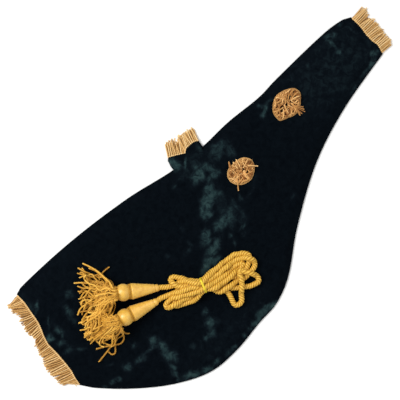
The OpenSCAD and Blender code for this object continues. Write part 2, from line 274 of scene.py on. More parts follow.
def new_piece(name, points, faces, material, tone=None):
    mesh = bpy.data.meshes.new(name)
    mesh.from_pydata(np.asarray(points, float).tolist(), [], faces)
    if tone is not None:
        mark_points(mesh, "tone", tone)
    mesh.materials.append(material)
    mesh.shade_smooth()
    return placed(name, mesh)


def finish_piece(piece, body, slot, *nodes):
    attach(piece, body)
    if nodes:
        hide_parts(*nodes)
    return piece


def spline(points, step):
    """Smooth line through points, with a point about every step."""
    p = np.asarray(points, float)
    ends = np.vstack([2 * p[0] - p[1], p, 2 * p[-1] - p[-2]])
    line = []
    for a, b, c, d in zip(ends, ends[1:], ends[2:], ends[3:]):
        count = max(1, int(round(np.linalg.norm(c - b) / step)))
        t = np.arange(count)[:, None] / count
        line.append(0.5 * (2 * b + (c - a) * t + (2 * a - 5 * b + 4 * c - d) * t ** 2
                           + (3 * b - a - 3 * c + d) * t ** 3))
    return np.vstack([*line, p[-1:]])


def unit(angle):
    """Unit direction in the plane of the cover."""
    return np.array([math.cos(angle), math.sin(angle)])


def lengths_along(line):
    return np.concatenate([[0], np.cumsum(np.linalg.norm(np.diff(line, axis=0), axis=1))])


def along(line, share):
    """The point, or points, at a share of the length of a line."""
    s = lengths_along(line)
    return np.stack([np.interp(share * s[-1], s, column) for column in line.T], -1)


def resampled(line, step):
    """The same line with points an even step apart."""
    count = max(2, int(round(lengths_along(line)[-1] / step)) + 1)
    return along(line, np.linspace(0, 1, count))


def table(*pairs):
    """A function of a share or an angle that runs through (place, value) pairs."""
    places, values = zip(*pairs)
    return lambda place: float(np.interp(place, places, values))


def lobes(sides):
    """Outline of a strand of twisted plies, as a share of its radius at each of its sides."""
    ply = math.sin(math.pi / PLIES) / (1 + math.sin(math.pi / PLIES))
    angle = 2 * math.pi * np.arange(sides) / sides
    off = (angle + math.pi / PLIES) % (2 * math.pi / PLIES) - math.pi / PLIES
    inside = np.maximum(ply ** 2 - ((1 - ply) * np.sin(off)) ** 2, 0)
    return np.maximum((1 - ply) * np.cos(off) + np.sqrt(inside), 0.62), angle


def ring_frames(line):
    """Two directions square to a line at each of its points, which turn with it as little as they can."""
    tangent = np.gradient(line, axis=0)
    tangent /= np.linalg.norm(tangent, axis=1)[:, None]
    normal = np.zeros_like(line)
    up = np.array([0.0, 0.0, 1.0]) if abs(tangent[0, 2]) < 0.9 else np.array([1.0, 0.0, 0.0])
    for i in range(len(line)):
        up = up - tangent[i] * (up @ tangent[i])
        up /= np.linalg.norm(up)
        normal[i] = up
    return normal, np.cross(tangent, normal)


def tube_faces(rings, sides):
    i, k = np.meshgrid(np.arange(rings - 1), np.arange(sides), indexing="ij")
    m = (k + 1) % sides
    faces = np.stack([i * sides + k, i * sides + m, (i + 1) * sides + m, (i + 1) * sides + k], -1)
    faces = faces.reshape(-1, 4).tolist()
    faces.append(list(range(sides))[::-1])
    faces.append([(rings - 1) * sides + j for j in range(sides)])
    return faces


def twisted_tube(line, radius, tone, sides, pitch, start_turn=0.0, ends=2):
    """Points, faces and tones of a strand of twisted plies along a line.

    ends is how many rings round off each end, and 0 for a closed loop.
    """
    n = len(line)
    normal, across = ring_frames(line)
    outline, angle = lobes(sides)
    taper = np.ones(n)
    for k in range(ends):
        taper[k] = taper[n - 1 - k] = math.sqrt(1 - (1 - (k + 0.35) / ends) ** 2)
    r = (radius * taper)[:, None] * outline[None, :]
    s = lengths_along(line)[:, None]
    turn = start_turn + 2 * math.pi * s / pitch + angle[None, :]
    points = (line[:, None, :] + (r * np.cos(turn))[..., None] * normal[:, None, :]
              + (r * np.sin(turn))[..., None] * across[:, None, :]).reshape(-1, 3)
    tip = CUT_SHADE * smooth(1 - (s[-1] - s) / (2.5 * MM)) if ends else 0 * s
    # painted shade darkens the grooves between plies; cut ends are lighter
    tones = tone + PLY_SHADE * (outline[None, :] - 0.85) + tip
    return points, tube_faces(n, sides), tones.reshape(-1)


def joined(parts):
    """One set of points, faces and tones from many."""
    all_points, all_faces, all_tones, base = [], [], [], 0
    for points, faces, tones in parts:
        all_points.append(points)
        all_faces.extend([[v + base for v in face] for face in faces])
        all_tones.append(tones)
        base += len(points)
    return np.vstack(all_points), all_faces, np.concatenate(all_tones)


def strands_piece(name, lines, radius, material, rng, step, pitch, sides=8, tones=(0.15, 0.6), layer_shade=None):
    """One piece of many twisted strands, each of which may be lightened or darkened by a shade given for it:
    painted shade on the strands that lie under others.
    """
    parts = []
    for k, line in enumerate(lines):
        tone = rng.uniform(*tones) + (layer_shade[k] if layer_shade else 0)
        thickness = radius * rng.uniform(0.9, 1.1)
        start_turn = rng.uniform(0, 2 * math.pi)
        parts.append(twisted_tube(resampled(line, step), thickness, tone, sides, pitch, start_turn))
    points, faces, tones = joined(parts)
    return new_piece(name, points, faces, material, tones)


# ---------------------------------------------------------------- velvet cover

def cover_edges():
    """The two long edges of the cover, from the outline of the CAD's back panel."""
    points = np.array([v.co for v in frame["nodes"]["back_panel"].data.vertices])
    outline = np.unique(np.round(points[points[:, 2] < 0.1 * MM][:, :2], 5), axis=0)
    middle = 64 * MM        # both mouths have this height between their corners
    lower = outline[outline[:, 1] < middle]
    upper = outline[outline[:, 1] >= middle]
    return lower[np.argsort(lower[:, 0])], upper[np.argsort(upper[:, 0])]


LOWER, UPPER = cover_edges()
COVER_LENGTH = 765 * MM     # between the mouths
SLEEVE_X = (-17 * MM, 47 * MM)
SEAM_Z = 2.0 * MM
ROLL = 3 * MM               # width of the rolled edge along a seam
FULLNESS = 5.6 * MM         # how much higher than its rolled edge the front panel lies
MOUTH_REACH = 45 * MM       # how far from a mouth its flatness and its waves are felt
CLOTH_T = 1.1 * MM


def edge_point(edge, share):
    x = edge[0, 0] + (edge[-1, 0] - edge[0, 0]) * share
    return np.array([x, np.interp(x, edge[:, 0], edge[:, 1])])


def ripple(x, y, size, seed):
    return noise.noise(Vector((x / size, y / size, seed)))


def in_sleeve(x):
    """1 under the sleeve, falling to 0 at its two sides."""
    return smooth((x - SLEEVE_X[0]) / (8 * MM)) * smooth((SLEEVE_X[1] - x) / (8 * MM))


# Places where the pile is crushed and painted sheen lightens it: x, y and two half lengths in millimetres,
# turn in degrees, strength
CRUSHED_SHEEN = [
    # the broad band across the middle, from the sleeve down to the hank
    (5, 90, 16, 12, 20, 0.8), (28, 88, 9, 18, 30, 0.75), (28, 72, 15, 8, -10, 0.7), (12, 104, 9, 8, 0, 0.5),
    (5, 60, 14, 10, 30, 0.8), (-12, 48, 22, 11, 25, 0.85), (-27, 35, 11, 12, 45, 0.85),
    (8, 46, 14, 10, 20, 0.6), (-18, 5, 20, 10, 15, 0.8), (-4, 0, 16, 11, 60, 0.75),
    (12, 10, 15, 9, 45, 0.55), (-57, 5, 16, 9, 40, 0.75), (-60, -17, 25, 9, 15, 0.75),
    (-88, -30, 20, 9, 20, 0.85), (-70, -35, 12, 6, 0, 0.7), (0, 25, 30, 12, 60, 0.3),
    (15, -10, 20, 8, 60, 0.3),
    # beside it
    (62, 100, 22, 10, 0, 0.62), (55, 90, 14, 7, -15, 0.55), (76, 84, 8, 17, -10, 0.52),
    (-25, -22, 4, 6, 0, 0.55), (3, -25, 11, 3, 0, 0.5), (-30, -35, 5, 4, 0, 0.45), (-8, -35, 6, 4, 0, 0.35),
    (17, -8, 3, 5, 0, 0.5), (32, 15, 6, 5, 0, 0.42), (50, 8, 12, 3, 5, 0.35), (72, 18, 12, 3, 40, 0.3),
    (-95, 12, 8, 6, 0, 0.38), (-82, 15, 4, 6, 0, 0.36), (-125, 28, 4, 4, 0, 0.32), (-75, 45, 5, 6, 0, 0.22),
    (-36, 105, 5, 4, 0, 0.4), (-16, 108, 11, 3, 0, 0.36), (-9, 136, 9, 18, 0, 0.9),
    (6, 121, 13, 3.5, 42, 0.75), (40, 122, 5, 13, -15, 0.6), (12, 112, 34, 16, 0, 0.3),
    (98, -48, 5, 4, 0, 0.28),
    # rear
    (-355, 135, 8, 20, 0, 0.39), (-348, 119, 14, 4, 40, 0.65), (-367, 66, 8, 9, 0, 0.78),
    (-345, 62, 6, 17, 0, 0.55), (-356, 46, 12, 8, 0, 0.55), (-358, 30, 9, 6, 0, 0.45),
    (-341, 17, 10, 3, -45, 0.47), (-350, 86, 14, 2.5, 45, 0.52), (-312, 76, 7, 16, -10, 0.55),
    (-290, 97, 8, 8, 0, 0.47), (-318, 60, 5, 11, 0, 0.36), (-272, -42, 5, 4, 0, 0.47),
    (-325, -38, 6, 3, 0, 0.39), (-340, -62, 7, 5, 0, 0.68), (-329, -66, 7, 4, 0, 0.59),
    (-357, -58, 6, 3, -40, 0.47), (-306, -60, 9, 8, -30, 0.62), (-280, -67, 14, 5, -10, 0.62),
    (-258, -66, 13, 4, 0, 0.59), (-244, -60, 9, 12, 0, 0.75), (-237, -80, 7, 14, 0, 0.73),
    (-240, -98, 10, 16, 20, 0.81), (-251, -118, 5, 16, -10, 0.6), (-258, -131, 3, 14, -5, 0.62),
    (-146, -86, 10, 5, 25, 0.55), (-150, -104, 10, 12, 30, 0.68), (-160, -118, 9, 9, 0, 0.68),
    (-174, -118, 6, 5, 0, 0.55), (-199, -112, 5, 7, 0, 0.42), (-185, -116, 4, 4, 0, 0.42),
    # lower edge
    (-236, -147, 18, 9, -28, 0.81), (-213, -158, 14, 6, -20, 0.84), (-190, -161, 14, 5, 0, 0.57),
    (-155, -163, 16, 5, 0, 0.57), (-125, -162, 6, 5, 0, 0.57), (-110, -160, 5, 7, 0, 0.57),
    (-86, -156, 22, 7, 5, 0.74), (-70, -152, 15, 6, 0, 0.86), (-55, -157, 13, 5, 0, 0.84),
    # neck
    (168, 93, 12, 5, 20, 0.81), (159, 90, 7, 6, 0, 0.65), (164, 103, 7, 4, -50, 0.55),
    (184, 98, 11, 3, 0, 0.52), (326, 95, 4, 16, 0, 0.65), (338, 103, 6, 7, 0, 0.55),
    (324, 76, 6, 7, 0, 0.62), (330, 109, 6, 5, 0, 0.55), (360, 108, 7, 5, -30, 0.55),
    (367, 92, 3, 11, 10, 0.49), (369, 33, 10, 6, 10, 0.81), (354, 23, 13, 5, 10, 0.72),
    (333, 21, 11, 3, 10, 0.55), (300, 13, 14, 3, 10, 0.39), (342, 50, 3, 9, 30, 0.44),
    (270, 97, 4, 6, 0, 0.49), (235, 98, 6, 5, 0, 0.36), (285, 28, 11, 4, -30, 0.31),
    # the broad faint changes of tone
    (300, 65, 110, 60, 0, 0.24), (-150, -135, 120, 30, 0, 0.12), (-300, 130, 70, 25, 0, 0.06),
]


def crush_sheen_at(points):
    """How strongly the pile is crushed at each point, from 0 to 1, which is how much painted sheen lightens
    it.
    """
    wander = np.array([noise.noise_vector(Vector((x / 0.013, y / 0.013, 7.0)))[:2] for x, y, _ in points])
    at = points[:, :2] / MM + 4.5 * wander
    total = np.zeros(len(points))
    for x, y, half_u, half_v, turn, strength in CRUSHED_SHEEN:
        c, s = unit(math.radians(turn))
        off = at - np.array([x, y])
        u = (off @ np.array([c, s])) / half_u
        v = (off @ np.array([-s, c])) / half_v
        total = np.maximum(total, strength * np.exp(-(u * u + v * v) ** 1.5))
    return total


CREASES = [  # start, end, height and half width of the long soft folds in the front panel, in millimetres
    ((-5, 112), (20, 131), 1.2, 3), ((-368, 72), (-340, 97), 0.9, 4), ((-355, 30), (-338, 12), 0.8, 4),
    ((330, 60), (372, 95), 0.7, 6), ((165, 100), (240, 108), 0.6, 5), ((-300, -60), (-245, -125), 0.8, 7),
    ((40, 118), (75, 90), 0.8, 5), ((-20, 120), (-75, 95), 0.7, 6), ((90, -40), (150, -10), 0.6, 7),
    ((-110, -150), (-40, -130), 0.7, 6), ((230, 25), (330, 55), 0.5, 8),
]


def crease_depth(x, y):
    """How far the soft folds push the front panel up and down at a point, in metres."""
    depth = 0.0
    for (ax, ay), (bx, by), height, width in CREASES:
        a, d = np.array([ax, ay]) * MM, np.array([bx - ax, by - ay]) * MM
        q = np.array([x, y]) - a
        t = min(max(q @ d / (d @ d), 0), 1)
        off = np.linalg.norm(q - t * d)
        ends = math.sin(math.pi * min(max(t, 0.02), 0.98))
        depth += height * MM * ends * (math.exp(-(off / (width * MM)) ** 2)
                                       - 0.6 * math.exp(-((off - 2 * width * MM) / (width * MM)) ** 2))
    return depth


def rolled(d):
    """From 0 at a seam to 1 at the end of its rolled edge, as a quarter of a circle."""
    return math.sqrt(max(1 - (1 - min(d / ROLL, 1)) ** 2, 0))


def front_height(x, y, d_low, d_high, from_mouth):
    """Height of the outer face of the front panel, at its distances from the two seams and a mouth."""
    low, high = [2.0 * MM * rolled(d) + FULLNESS * smooth(d / (20 * MM)) for d in (d_low, d_high)]
    rise = min(low, max(high, (2.0 * MM + FULLNESS) * in_sleeve(x)))
    flattened = 1 - 0.30 * (1 - smooth(from_mouth / MOUTH_REACH))
    wave = 0.5 * MM * ripple(x, y, 0.045, 1.7) + 0.35 * MM * ripple(x, y, 0.018, 5.2)
    z = SEAM_Z + rise * flattened + (wave + crease_depth(x, y)) * smooth(rise / (4 * MM))
    return min(z, CLOTH_TOP + 0.15 * MM)


def back_height(d):
    """Height of the outer face of the back panel, at its distance from the nearest seam."""
    return SEAM_Z - 1.7 * MM * rolled(d)


# How far each mouth's edge stands out from a straight line along x, in millimetres at each y
REAR_WAVE = table((-27, -1), (-12, 0), (0, 2), (20, 0.5), (40, -1.5), (60, -5), (75, -3), (90, 1), (100, 3),
                  (120, 3), (140, 3.5), (160, -1))
NECK_WAVE = table((22, 2.5), (30, 4), (40, 5), (50, 2), (65, 1), (80, 2), (95, 1), (105, 0.5))


def mouth_wave(x, y):
    """How far the edge of the nearer mouth moves a point of a panel along x."""
    wave, mouth = (REAR_WAVE, -370 * MM) if x < 0 else (NECK_WAVE, 378 * MM)
    return wave(y / MM) * MM * (1 - smooth(abs(x - mouth) / MOUTH_REACH))


EDGE_ROWS = np.array([0, 0.35, 0.9, 1.7, 2.7, 4.2, 6.5, 9.5]) * MM     # close together on the rolled edge
GRID_COLUMNS = 256
GRID_ROWS = 84


def cover_grid(height):
    """Grid of points over the whole cover: one row for each column, from the lower to the upper edge."""
    grid = []
    for i in range(GRID_COLUMNS + 1):
        share = i / GRID_COLUMNS
        a, b = edge_point(LOWER, share), edge_point(UPPER, share)
        length = np.linalg.norm(b - a)
        inner = np.linspace(EDGE_ROWS[-1], length - EDGE_ROWS[-1], GRID_ROWS)[1:-1]
        steps = np.concatenate([EDGE_ROWS, inner, length - EDGE_ROWS[::-1]])
        from_mouth = min(share, 1 - share) * COVER_LENGTH
        row = []
        for d in steps:
            x, y = a + (b - a) * d / length
            row.append((x + mouth_wave(x, y), y, height(x, y, d, length - d, from_mouth)))
        grid.append(row)
    return np.array(grid)


def grid_faces(columns, rows):
    i, j = np.meshgrid(np.arange(columns - 1), np.arange(rows - 1), indexing="ij")
    a = i * rows + j
    return np.stack([a, a + rows, a + rows + 1, a + 1], -1).reshape(-1, 4)


def thicken(piece):
    """Gives a sheet its thickness on the inner side, and leaves a plain mesh."""
    modifier = piece.modifiers.new("thickness", "SOLIDIFY")
    modifier.thickness = CLOTH_T
    modifier.offset = -1
    graph = bpy.context.evaluated_depsgraph_get()
    mesh = bpy.data.meshes.new_from_object(piece.evaluated_get(graph))
    piece.modifiers.clear()
    piece.data = mesh


def make_cloth(name, node, points, faces, crush_sheen_points):
    """A piece of velvet with its thickness and its crushed patches of painted sheen, which stands for a node.
    """
    piece = new_piece(name, points, faces, VELVET)
    mark_points(piece.data, "crush_sheen", crush_sheen_at(crush_sheen_points))
    thicken(piece)
    return finish_piece(piece, "cover", "velvet", node)


def hole_centre(name):
    low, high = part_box(name + "_hole_heading")
    return np.array([(low.x + high.x) / 2, (low.y + high.y) / 2])


HOLES = {name: hole_centre(name) for name in ("body", "neck")}
HOLE_R = 16.5 * MM      # small enough for the cut edge to lie under the ring's strands


def cut_holes(points, faces):
    """The faces left outside the stock holes. The points round each hole are moved onto its rim."""
    for centre in HOLES.values():
        inside = np.linalg.norm(points[faces].mean(1)[:, :2] - centre, axis=1) < HOLE_R
        rim = np.intersect1d(faces[inside], faces[~inside])
        arm = points[rim, :2] - centre
        points[rim, :2] = centre + arm * (HOLE_R / np.linalg.norm(arm, axis=1))[:, None]
        faces = faces[~inside & ~np.isin(faces, rim).all(1)]
    return faces


def make_front_panel():
    grid = cover_grid(front_height)
    points = grid.reshape(-1, 3).copy()
    faces = cut_holes(points, grid_faces(*grid.shape[:2]))
    return make_cloth("front_panel_velvet", "front_panel", points, faces.tolist(), points), grid


def make_back_panel():
    """The hidden panel, whose crushed patches of painted sheen are the front's moved aside."""
    grid = cover_grid(lambda x, y, low, high, _: back_height(min(low, high)))
    points = grid.reshape(-1, 3)
    faces = grid_faces(*grid.shape[:2])[:, ::-1]
    aside = np.array([110, 70, 0]) * MM
    return make_cloth("back_panel_velvet", "back_panel", points, faces.tolist(), points + aside), grid


# ---------------------------------------------------------------- sleeve

SLEEVE_MOUTH = np.array([(-13, 144), (-8, 148.5), (5, 141.5), (18, 133.5), (24, 138.5), (34, 138.5),
                         (43, 137), (49, 133)]) * MM
SLEEVE_LEFT = np.array([(-17, 126), (-16, 134), (-13, 144)]) * MM
SLEEVE_RIGHT = np.array([(47, 120), (48, 127), (49, 133)]) * MM


def sleeve_ring(t, count, back):
    """Points across one face of the flattened sleeve, t from its base to its mouth."""
    share = np.linspace(0, 1, count)
    base_left, base_right = SLEEVE_LEFT[0], SLEEVE_RIGHT[0]
    base = base_left + (base_right - base_left) * share[:, None] + np.array([0, -1.0 * MM])
    mouth = along(SLEEVE_MOUTH, share)
    if back:
        mouth = mouth + np.array([0, 3.5 * MM]) * np.sin(math.pi * share)[:, None] ** 2
    left = along(SLEEVE_LEFT, t) - (base_left + (SLEEVE_MOUTH[0] - base_left) * t)
    right = along(SLEEVE_RIGHT, t) - (base_right + (SLEEVE_MOUTH[-1] - base_right) * t)
    flat = base + (mouth - base) * t + left * (1 - share[:, None]) + right * share[:, None]
    edge = np.minimum(share, 1 - share) * 64 * MM
    half = 3.9 * MM * np.sqrt(np.clip(1 - (1 - np.clip(edge / (5 * MM), 0, 1)) ** 2, 0, 1))
    middle = 4.6 * MM - 0.4 * MM * t
    fold = 1.6 * MM * t * np.exp(-((share - 0.5) / 0.07) ** 2)
    z = middle + (-half + 0.15 * MM if back else half - fold)
    return np.column_stack([flat, z])


def make_sleeve():
    """The flattened tube, as rings from its base to its mouth."""
    across, steps = 40, 14
    rings = []
    for t in np.linspace(0, 1, steps):
        front = sleeve_ring(t, across, back=False)
        back = sleeve_ring(t, across, back=True)[::-1][1:-1]
        rings.append(np.vstack([front, back]))
    rings = np.array(rings)
    points = rings.reshape(-1, 3)
    open_tube = tube_faces(steps, rings.shape[1])[:-2]
    return make_cloth("stock_sleeve_velvet", "stock_sleeve", points, open_tube, points)


# ---------------------------------------------------------------- fringe

STRAND_R = 1.25 * MM
STRAND_PITCH = 3.3 * MM     # from strand to strand in one layer
HEADING_W = 7 * MM          # of the woven tape that holds them


def fringe_line(base, out, length, tip_z, lean, bend, wave):
    """One strand. It leaves the woven heading straight and then leans, waves and droops."""
    side = np.array([-out[1], out[0]])
    steps = 7
    line = [base]
    for s in range(1, steps + 1):
        share = s / steps
        free = smooth((share * length - 0.7 * HEADING_W) / max(length - 0.7 * HEADING_W, 1e-5))
        angle = lean * smooth(share * 2.4) + bend * free * math.sin(3 * share + wave)
        step = (out * math.cos(angle) + side * math.sin(angle)) * length / steps
        height = base[2] + (tip_z - base[2]) * smooth(share * 1.1)
        line.append(np.array([*(line[-1][:2] + step), height]))
    return spline(line, 1.5 * MM)


def make_fringe(name, mouth, outward, length, tip_z, lean, rng, spread=0.06, tones=(0.35, 0.85)):
    """Strands all along a mouth, in three layers.

    mouth, outward, length and lean are functions of a share of the mouth's length.
    """
    samples = np.linspace(0, 1, 200)
    s = lengths_along(np.array([mouth(t) for t in samples]))
    lines, layer_shade = [], []
    lowest = 1.05 * STRAND_R
    for layer in range(3):
        count = int(s[-1] / STRAND_PITCH)
        tip = max(tip_z - layer * 1.1 * MM, lowest)
        for k in range(count):
            t = np.interp((k + 0.3 * (1 + layer)) / (count + 0.3) * s[-1], s, samples)
            out = outward(t)
            x, y, z = mouth(t)
            base = np.array([x - out[0] * 1.2 * MM, y - out[1] * 1.2 * MM,
                             max(z - (0.4 + layer * 1.2) * MM, lowest)])
            reach = length(t) * MM * (1 - 0.05 * layer) * rng.uniform(0.86, 1.06)
            turn = lean(t) + rng.normal(0, spread)
            lines.append(fringe_line(base, out, reach, tip, turn, rng.normal(0, 0.12), k))
        # painted shade on the lower layers, which lie under the upper ones
        layer_shade += [-0.28 * layer] * count
    return strands_piece(name, lines, STRAND_R, WOOL, rng, 0.7 * MM, 5.5 * MM, tones=tones, layer_shade=layer_shade)


def make_heading(name, loops, rng):
    """Fine cords laid side by side along the mouth."""
    for line in loops:
        line[:, 2] = np.maximum(line[:, 2], 0.75 * MM)
    return strands_piece(name, loops, 0.65 * MM, WOOL, rng, 0.6 * MM, 3.2 * MM, tones=(0.45, 0.8))


def clumps(size, amount, seed):
    """An amount that comes and goes along a mouth, as strands bunch together."""
    return lambda t: amount * noise.noise(Vector((t * size, seed, 0.3)))


def plus(*functions):
    return lambda t: sum(f(t) for f in functions)


def outward_of(mouth, sign):
    """Unit direction out of a mouth, square to its line."""
    d = (mouth(1.0) - mouth(0.0))[:2]
    normal = np.array([-d[1], d[0]]) / np.linalg.norm(d) * sign
    return lambda t: normal


def band_lines(mouth, outward, offsets, drop):
    """Lines for a heading's cords, each at its offset out of the mouth."""
    lines = []
    for offset in offsets:
        line = [mouth(t) + np.array([*(outward(t) * offset), -drop]) for t in np.linspace(0, 1, 60)]
        lines.append(spline(line, 2 * MM))
    return lines


# Length in millimetres and lean in radians of the strands, at shares of each mouth from its lower corner
REAR_LENGTH = plus(
    table((0, 21), (0.07, 28), (0.12, 32), (0.22, 35), (0.27, 35), (0.31, 33), (0.36, 29), (0.41, 26),
          (0.44, 27), (0.48, 22), (0.52, 25), (0.55, 21), (0.58, 20), (0.61, 22), (0.64, 26), (0.69, 30),
          (0.72, 28), (0.75, 27), (0.765, 31), (0.78, 23), (0.8, 27), (0.83, 32), (0.88, 31), (0.95, 29),
          (1, 28)),
    clumps(16, 2, 1.1))
REAR_LEAN = plus(
    clumps(10, 0.2, 3.3),
    table((0, -0.8), (0.03, -0.6), (0.06, -0.35), (0.12, -0.2), (0.3, -0.22), (0.38, -0.1), (0.45, 0.1),
          (0.55, 0.2), (0.62, 0.1), (0.72, 0.0), (0.765, -0.15), (0.79, -0.45), (0.83, -0.5), (0.88, -0.42),
          (0.95, 0.0), (1, 0.36)))
NECK_LENGTH = plus(
    table((0, 22), (0.1, 26), (0.25, 25), (0.4, 29), (0.5, 30), (0.62, 28), (0.75, 25), (0.87, 29), (1, 31)),
    clumps(12, 2.5, 2.2))
NECK_LEAN = plus(clumps(7, 0.15, 4.4), table((0, 0), (0.85, 0), (1, 0.12)))
SLEEVE_LENGTH = plus(
    table((0, 24), (0.1, 27), (0.2, 29), (0.235, 28), (0.25, 15), (0.29, 19), (0.37, 28), (0.5, 29),
          (0.62, 24), (0.77, 24), (0.92, 26), (1, 20)),
    clumps(9, 1.2, 7.7))
SLEEVE_LEAN = clumps(7, 0.12, 5.5)
SLEEVE_FACING = table((0, 55), (0.3, 55), (0.42, 58), (0.56, 66), (0.7, 77), (0.9, 76), (1, 71))  # degrees


def make_mouth_fringes(front_grid, back_grid):
    rng = np.random.default_rng(11)
    ends = {    # column of the grids at each mouth, side it opens to, its strands' length, lean and tones
        "rear": (0, 1, REAR_LENGTH, REAR_LEAN, (0.2, 0.68)),
        "neck": (-1, -1, NECK_LENGTH, NECK_LEAN, (0.35, 0.85)),
    }
    pieces, heading_lines = {}, {}
    for end, (column, sign, length, lean, tones) in ends.items():
        heading_lines[end] = []
        for side, grid, tip_z, offset, drop in (("front", front_grid, 3.4, 1.4 * MM, 0.1 * MM),
                                                ("back", back_grid, 1.0, HEADING_W, -0.6 * MM)):
            edge = grid[column, 3:-3]

            def mouth(t):
                return along(edge, t)

            outward = outward_of(mouth, sign)
            name = end + "_fringe_" + side
            piece = make_fringe(name, mouth, outward, length, tip_z * MM, lean, rng, tones=tones)
            pieces[name] = finish_piece(piece, "cover", "fringe_wool", name + "_strands")
            heading_lines[end] += band_lines(mouth, outward, [0.2 * MM, offset], drop)
    for end, lines in heading_lines.items():
        piece = make_heading(end + "_fringe_heading_braid", lines, rng)
        pieces[end] = finish_piece(piece, "cover", "fringe_heading", end + "_fringe_heading")
    return pieces


def make_sleeve_fringes():
    rng = np.random.default_rng(23)
    pieces, lines = [], []
    for side, tip_z, drop in (("front", 3.6, 0.3 * MM), ("back", 1.0, -0.6 * MM)):
        ring = sleeve_ring(1.0, 80, back=side == "back")

        def mouth(t):
            return along(ring, 0.1 + 0.9 * t)

        def outward(t):
            return unit(math.radians(SLEEVE_FACING(t)))

        name = "sleeve_fringe_" + side
        piece = make_fringe(name, mouth, outward, SLEEVE_LENGTH, tip_z * MM, SLEEVE_LEAN, rng, spread=0.08)
        pieces.append(finish_piece(piece, "cover", "fringe_wool", name + "_strands"))
        lines += band_lines(mouth, outward, [0.2 * MM], drop)
    piece = make_heading("sleeve_fringe_heading_braid", lines, rng)
    pieces.append(finish_piece(piece, "cover", "fringe_heading", "sleeve_fringe_heading"))
    return pieces


# ---------------------------------------------------------------- fringed stock holes

def ring_line(centre, shape, inset, z):
    """Closed line at a height round a hole, inset from the ring's outer edge."""
    return np.array([[*(centre + (shape(a) - inset) * MM * unit(math.radians(a))), z * MM]
                     for a in np.linspace(0, 360, 121)])


# Outer edge of each fringed ring, in millimetres from its centre at each angle
RING_SHAPE = {
    "body": table((0, 25), (40, 22), (70, 18.6), (90, 18), (110, 19), (135, 22.8), (160, 25.6), (180, 26),
                  (200, 24.8), (225, 23), (250, 21.4), (275, 21.2), (300, 20.3), (325, 21.4), (360, 24.5)),
    "neck": table((0, 28.6), (20, 28), (45, 23.3), (70, 21.3), (90, 21.7), (130, 22.7), (150, 24.4),
                  (170, 28), (190, 30), (203, 31.5), (212, 28), (230, 23.2), (270, 22.6), (300, 21.4),
                  (330, 22.8), (360, 28.6)),
}
# Strands that fall outside their ring: angle where they leave it, heading, length
STRAYS = {
    "body": [(118, 62, 10), (123, 54, 9), (210, 232, 11), (338, -48, 7), (92, 80, 3), (72, 75, 3)],
    "neck": [(277, -95, 8), (284, -85, 9), (290, -66, 12), (296, -60, 9), (302, -50, 7), (282, -100, 6)],
}
# Count of strands, reach as a share of the ring's radius, turn from straight inward, height in millimetres
RING_LAYERS = ((44, 1.0, 0.0, 12.2), (34, 0.92, 0.3, 14.0), (24, 0.8, -0.4, 15.6))


def within_ring(centre, point, shape):
    """The point, brought back to just inside the ring's outer edge if it lies beyond it."""
    arm = point - centre
    reach = np.linalg.norm(arm)
    limit = (shape(math.degrees(math.atan2(arm[1], arm[0])) % 360) - 1.0) * MM
    return point if reach < limit else centre + arm * limit / reach


def ring_strand(centre, shape, around, turn, bend, length, z, rng):
    """A strand that starts at the ring's edge, arches inwards and falls to the cloth."""
    steps = 6
    line = [np.array([*within_ring(centre, centre + 100 * MM * unit(around), shape), 11.6 * MM])]
    for s in range(1, steps + 1):
        share = s / steps
        step = unit(around + math.pi + turn + bend * share * 1.4) * length / steps
        arch = 1.6 * MM * math.sin(math.pi * min(share * 1.2, 1.0))
        height = z * MM + arch - 3.6 * MM * share + rng.normal(0, 0.3) * MM
        line.append(np.array([*within_ring(centre, line[-1][:2] + step, shape), height]))
    return spline(line, 1.5 * MM)


def stray_strand(centre, shape, at, toward, length):
    """A strand that comes from under the others, leaves the ring and ends on the cloth."""
    edge = centre + shape(at) * MM * unit(math.radians(at))
    places = ((-11, 16), (-3, 15.6), (length * 0.5, 12.6), (length, 11.4))   # from the edge, and height
    return spline([(*(edge + unit(math.radians(toward)) * s * MM), z * MM) for s, z in places], 1.5 * MM)


def rosette_strands(name, rng):
    centre, shape = HOLES[name], RING_SHAPE[name]
    lines = []
    for count, reach, turn, z in RING_LAYERS:
        for k in range(count):
            around = 2 * math.pi * (k + rng.uniform(-0.3, 0.3)) / count
            aside = turn + rng.normal(0, 0.3)
            bend = rng.normal(0, 0.9)
            length = shape(math.degrees(around) % 360) * MM * reach * rng.uniform(0.75, 1.1)
            lines.append(ring_strand(centre, shape, around, aside, bend, length, z, rng))
    return lines + [stray_strand(centre, shape, *stray) for stray in STRAYS[name]]


def make_rosettes():
    rng = np.random.default_rng(31)
    pieces = []
    rows = ((0, 11.6), (1.6, 12.6), (3.6, 11.6))    # the braid's cords: inset and height in millimetres
    for name, centre in HOLES.items():
        rims = [ring_line(centre, RING_SHAPE[name], inset, z) for inset, z in rows]
        braid = strands_piece(name + "_hole_braid", rims, 1.15 * MM, WOOL, rng, 0.7 * MM, 4 * MM,
                              tones=(0.0, 0.4))
        pieces.append(finish_piece(braid, "cover", "fringe_heading", name + "_hole_heading"))
        lines = rosette_strands(name, rng)
        lowest = RING_LAYERS[0][0]
        # painted shade on the lowest layer, which lies under the others
        layer_shade = [-0.3] * lowest + [0.0] * (len(lines) - lowest)
        strands = strands_piece(name + "_hole_fringe", lines, 1.3 * MM, ROSETTE_WOOL, rng, 0.7 * MM, 5 * MM,
                                tones=(0.0, 0.65), layer_shade=layer_shade)
        pieces.append(finish_piece(strands, "cover", "fringe_wool", name + "_hole_strands"))
    return pieces


# ---------------------------------------------------------------- drone cord

